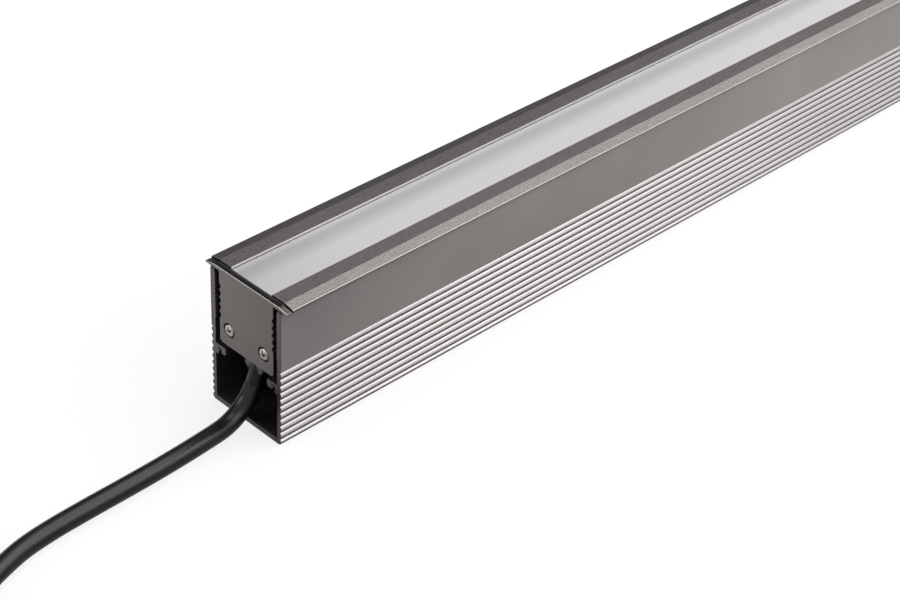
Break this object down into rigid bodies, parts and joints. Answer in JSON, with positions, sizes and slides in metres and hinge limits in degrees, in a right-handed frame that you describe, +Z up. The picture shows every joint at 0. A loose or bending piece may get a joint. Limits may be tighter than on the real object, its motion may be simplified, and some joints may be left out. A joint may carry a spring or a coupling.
{
  "type": "outdoor wall washer light",
  "caption": "Recessed linear wall washer: a slim flanged aluminium lamp with a frosted strip, hung in a ribbed U-shaped mounting channel, with a round rubber supply lead.",
  "frame": {"origin": "on the mounting channel's underside, at the middle of its length and width", "axes": "+X along the fixture, away from the end where the supply lead leaves; +Z up, out of the diffuser; +Y across"},
  "size_m": [0.8079, 0.0713, 0.0672],
  "materials": {
    "anodised_profile": "satin anodised extrusion with fine drawing lines",
    "end_plate": "fine matt anodised",
    "seal_rubber": "matt, slightly compressed",
    "frosted_diffuser": "frosted opal, satin",
    "screw_steel": "bright stainless",
    "spring_steel": "dull stainless strip",
    "board_white": "white solder mask",
    "diode_phosphor": "yellow phosphor",
    "lens_clear": "clear moulded acrylic",
    "pad_grey": "soft silicone pad",
    "board_green": "green solder mask",
    "ferrite": "matt ferrite",
    "can_aluminium": "bright can",
    "chip_black": "matt moulded epoxy",
    "terminal_green": "moulded nylon",
    "core_sheath": "smooth insulation",
    "lead_sheath": "smooth insulation",
    "outlet_plastic": "dark moulded nylon",
    "cable_rubber": "smooth satin rubber",
    "tie_nylon": "black nylon strap",
    "tinned_copper": "tinned"
  },
  "bodies": {
    "channel": {"mounting_channel": "anodised_profile", "flange_gaskets": "seal_rubber", "power_cord_hank": "cable_rubber", "hank_tie": "tie_nylon", "cord_cores": "core_sheath", "core_ferrules": "tinned_copper"},
    "luminaire": {"luminaire_body": "anodised_profile", "diffuser": "frosted_diffuser", "diffuser_seals": "seal_rubber", "end_cap_near": "end_plate", "end_cap_far": "end_plate", "end_gasket_near": "seal_rubber", "end_gasket_far": "seal_rubber", "cap_screws_near": "screw_steel", "cap_screws_far": "screw_steel", "retaining_clips": "spring_steel", "led_board": "board_white", "led_chips": "diode_phosphor", "lens_strip": "lens_clear", "thermal_pad": "pad_grey", "board_screws": "screw_steel", "driver_board": "board_green", "driver_inductors": "ferrite", "driver_capacitors": "can_aluminium", "driver_chips": "chip_black", "terminal_block": "terminal_green", "inner_cores": "core_sheath", "led_leads": "lead_sheath", "cable_outlet": "outlet_plastic", "outlet_sleeve": "cable_rubber", "power_cord": "cable_rubber"}
  },
  "joints": [
    {"name": "luminaire_lift", "type": "slide", "parent": "channel", "child": "luminaire", "axis": [0, 0, 1], "range_m": [0, 0.05]}
  ]
}
